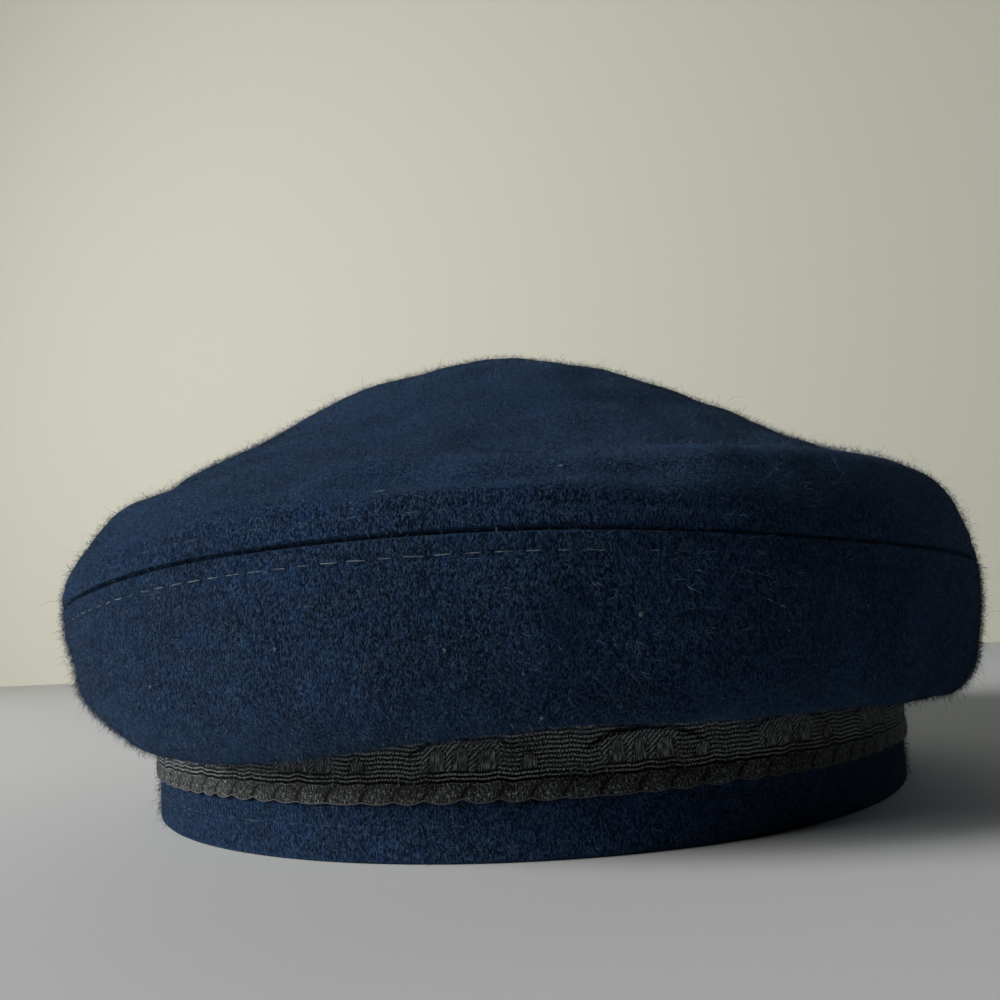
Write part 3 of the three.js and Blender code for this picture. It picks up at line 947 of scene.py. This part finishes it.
def nap(name, outer, turns_close, count, brush, seed):
    """Fibres rooted all over the outer face of a panel, even by area; brush combs them down it."""
    draw = np.random.default_rng(seed)
    rows = np.arange(len(outer) if turns_close else len(outer) - 1)
    corner = outer[rows, :-1]
    across = outer[(rows + 1) % len(outer), :-1] - corner
    down = outer[rows, 1:] - corner
    area = np.linalg.norm(np.cross(across, down), axis=-1).ravel()
    picks = draw.choice(area.size, count, p=area / area.sum())
    corner, across, down = (part.reshape(-1, 3)[picks] for part in (corner, across, down))
    root = corner + across * draw.random((count, 1)) + down * draw.random((count, 1))
    out = outward_of(outer)[rows, :-1].reshape(-1, 3)[picks]
    standing = draw.random((count, 1)) < STANDING["share"]
    stray = draw.random((count, 1)) < STRAY["share"]
    bent = standing | stray
    length = FIBRE_LENGTH * MM * draw.lognormal(0, LENGTH_SPREAD, (count, 1))
    length = length * np.where(standing, STANDING["length"], 1) * np.where(stray, STRAY["length"], 1)
    lie = unit(unit(np.cross(out, draw.normal(size=(count, 3)))) + brush * unit(down))
    bend = unit(lie + CURL * np.cross(out, lie) * draw.normal(size=(count, 1)))
    lift = np.where(bent, draw.uniform(*BENT_LIFT, (count, 1)), draw.uniform(*LYING_LIFT, (count, 1)))
    sag = lift * draw.uniform(*SAG, (count, 1))
    middle = root + length * 0.5 * (lie * np.cos(lift) + out * np.sin(lift))
    tip = middle + length * 0.5 * (bend * np.cos(sag) + out * np.sin(sag))
    root = root - out * ROOT_SUNK * MM
    thick = FIBRE_THICK * MM * draw.uniform(*THICK_SPREAD, (count, 1)) * np.where(bent, BENT_THICK, 1)
    wide = thick * unit(np.cross(out + TWIST * draw.normal(size=(count, 3)), unit(tip - root)))

    bent = bent[:, 0]
    blades = np.stack([root, middle - wide, middle + wide, tip], axis=1)[bent].reshape(-1, 3)
    slivers = np.stack([root - wide, root + wide, tip], axis=1)[~bent].reshape(-1, 3)
    points = np.concatenate([blades, slivers])
    points[:, 2] = np.maximum(points[:, 2], OFF_TABLE * MM)
    blade_faces = np.arange(len(blades)).reshape(-1, 4)[:, BLADE].reshape(-1, 3)
    sliver_faces = len(blades) + np.arange(len(slivers)).reshape(-1, 3)
    faces = np.concatenate([blade_faces, sliver_faces])
    mesh = bpy.data.meshes.new(name)
    mesh.from_pydata(points.tolist(), [], faces.tolist())

    shares = np.cumsum([nap_finish["share"] for nap_finish in NAP_FINISHES])
    patches = NAP_PATCHES["strength"] * soft_lumps(root, NAP_PATCHES["size"], NAP_PATCHES["seed"])
    tone = np.searchsorted(shares, draw.random(count) + patches).clip(0, len(NAP_FINISHES) - 1)
    for material in nap_materials:
        mesh.materials.append(material)
    face_tones = np.concatenate([np.repeat(tone[bent], 2), tone[~bent]])
    mesh.polygons.foreach_set("material_index", face_tones.astype(np.int32))
    mesh.polygons.foreach_set("use_smooth", np.ones(len(faces), dtype=bool))
    cap_piece(name, mesh)


# Rows of each face that carry nap: clear of the top's middle and the seam, down to the inside of the
# fold, from under the braid to the hem, and the peak's rim and upper face
top_nap = top_face[:, 2:-3]
side_nap = side_face[:, 3:62]
band_nap = band_face[:, 7:]
peak_nap = peak_points[:, 2 + PEAK_STEPS:-1]
nap("crown_top_nap_a", top_nap, True, 84000, brush=0.3, seed=31)
nap("crown_top_nap_b", top_nap, True, 84000, brush=0.3, seed=32)
nap("crown_side_nap_a", side_nap, True, 90000, brush=0.7, seed=33)
nap("crown_side_nap_b", side_nap, True, 90000, brush=0.7, seed=34)
nap("band_nap", band_nap, True, 46000, brush=0.7, seed=35)
nap("peak_nap", peak_nap, False, 24000, brush=0.3, seed=36)


# Backdrop: a plain pale table that the cap stands on, with a plain cream wall behind it.
# Neither is part of the cap.
TABLE_WHITE = (0.59, 0.60, 0.61, 1.0)
WALL_CREAM = (0.555, 0.545, 0.470, 1.0)
PAPER = {"grain": 2.5, "shade": 0.97}
STAGE_SIZE = 3.0
WALL_TURN = math.radians(-22)
WALL_AT = (0, -0.8, 0)


def plain_paper(name, colour):
    """Matt paint with a barely seen grain."""
    paper = Finish(name, Roughness=0.9)
    grain = paper.place.noise(PAPER["grain"], Detail=3.0)
    shade = tuple(PAPER["shade"] * part for part in colour[:3]) + (1.0,)
    paper.vary("Base Color", grain.blend(colour, shade))
    return paper.material


def stage_plane(name, matrix, finish):
    shape = bmesh.new()
    bmesh.ops.create_grid(shape, x_segments=1, y_segments=1, size=STAGE_SIZE, matrix=matrix)
    mesh = mesh_of(name, shape)
    mesh.materials.append(finish)
    plane = bpy.data.objects.new(name, mesh)
    bpy.context.scene.collection.objects.link(plane)


upright = Matrix.Rotation(math.pi / 2, 4, "X")
wall_place = Matrix.Rotation(WALL_TURN, 4, "Z") @ Matrix.Translation(WALL_AT) @ upright
stage_plane("table", Matrix.Identity(4), plain_paper("table_white", TABLE_WHITE))
stage_plane("wall", wall_place, plain_paper("wall_cream", WALL_CREAM))


# Light: a soft window high on the wearer's left, a faint cool fill from beyond the other side,
# and hardly any light from the room itself.
WINDOW = {"place": (1.50, 0.55, 0.63), "aim": (0, 0.02, 0.04), "size": 0.65, "power": 44,
          "colour": (1.0, 0.99, 0.96)}
FAR_FILL = {"place": (-0.75, -0.55, 0.34), "aim": (0, 0, 0.05), "size": 0.5, "power": 1.0,
            "colour": (0.50, 0.75, 1.0)}
ROOM_COLOUR = (0.85, 0.92, 1.0, 1.0)
ROOM_STRENGTH = 0.004


def soft_light(name, place, aim, size, power, colour):
    lamp = bpy.data.lights.new(name, "AREA")
    lamp.size = size
    lamp.energy = power
    lamp.color = colour
    light = bpy.data.objects.new(name, lamp)
    light.location = place
    light.rotation_euler = (Vector(aim) - Vector(place)).to_track_quat("-Z", "Y").to_euler()
    bpy.context.scene.collection.objects.link(light)


soft_light("window", **WINDOW)
soft_light("far_fill", **FAR_FILL)
world = bpy.data.worlds.new("room")
world.use_nodes = True
room = world.node_tree.nodes["Background"]
room.inputs["Color"].default_value = ROOM_COLOUR
room.inputs["Strength"].default_value = ROOM_STRENGTH
bpy.context.scene.world = world
bpy.context.scene.view_settings.view_transform = "Standard"


# Camera: close behind the cap and low, tipped up a little and rolled, as the cap was seen.
# It stands straight back from the head's middle.
LENS_MM = 36.108
SENSOR_MM = 36.0
NEAR_CLIP = 0.01
CAMERA_BACK = 0.250
CAMERA_HEIGHT = 0.0336
YAW, PITCH, ROLL = math.radians(0.93), math.radians(7.6), math.radians(3.3)

lens = bpy.data.cameras.new("camera")
lens.lens = LENS_MM
lens.sensor_width = SENSOR_MM
lens.clip_start = NEAR_CLIP
camera = bpy.data.objects.new("camera", lens)
camera.matrix_world = (
    Matrix.Translation((HEAD_X, HEAD_Y + CAMERA_BACK, CAMERA_HEIGHT))
    @ Matrix.Rotation(math.pi + YAW, 4, "Z")
    @ Matrix.Rotation(math.pi / 2 + PITCH, 4, "X")
    @ Matrix.Rotation(-ROLL, 4, "Z"))
bpy.context.scene.collection.objects.link(camera)
bpy.context.scene.camera = camera
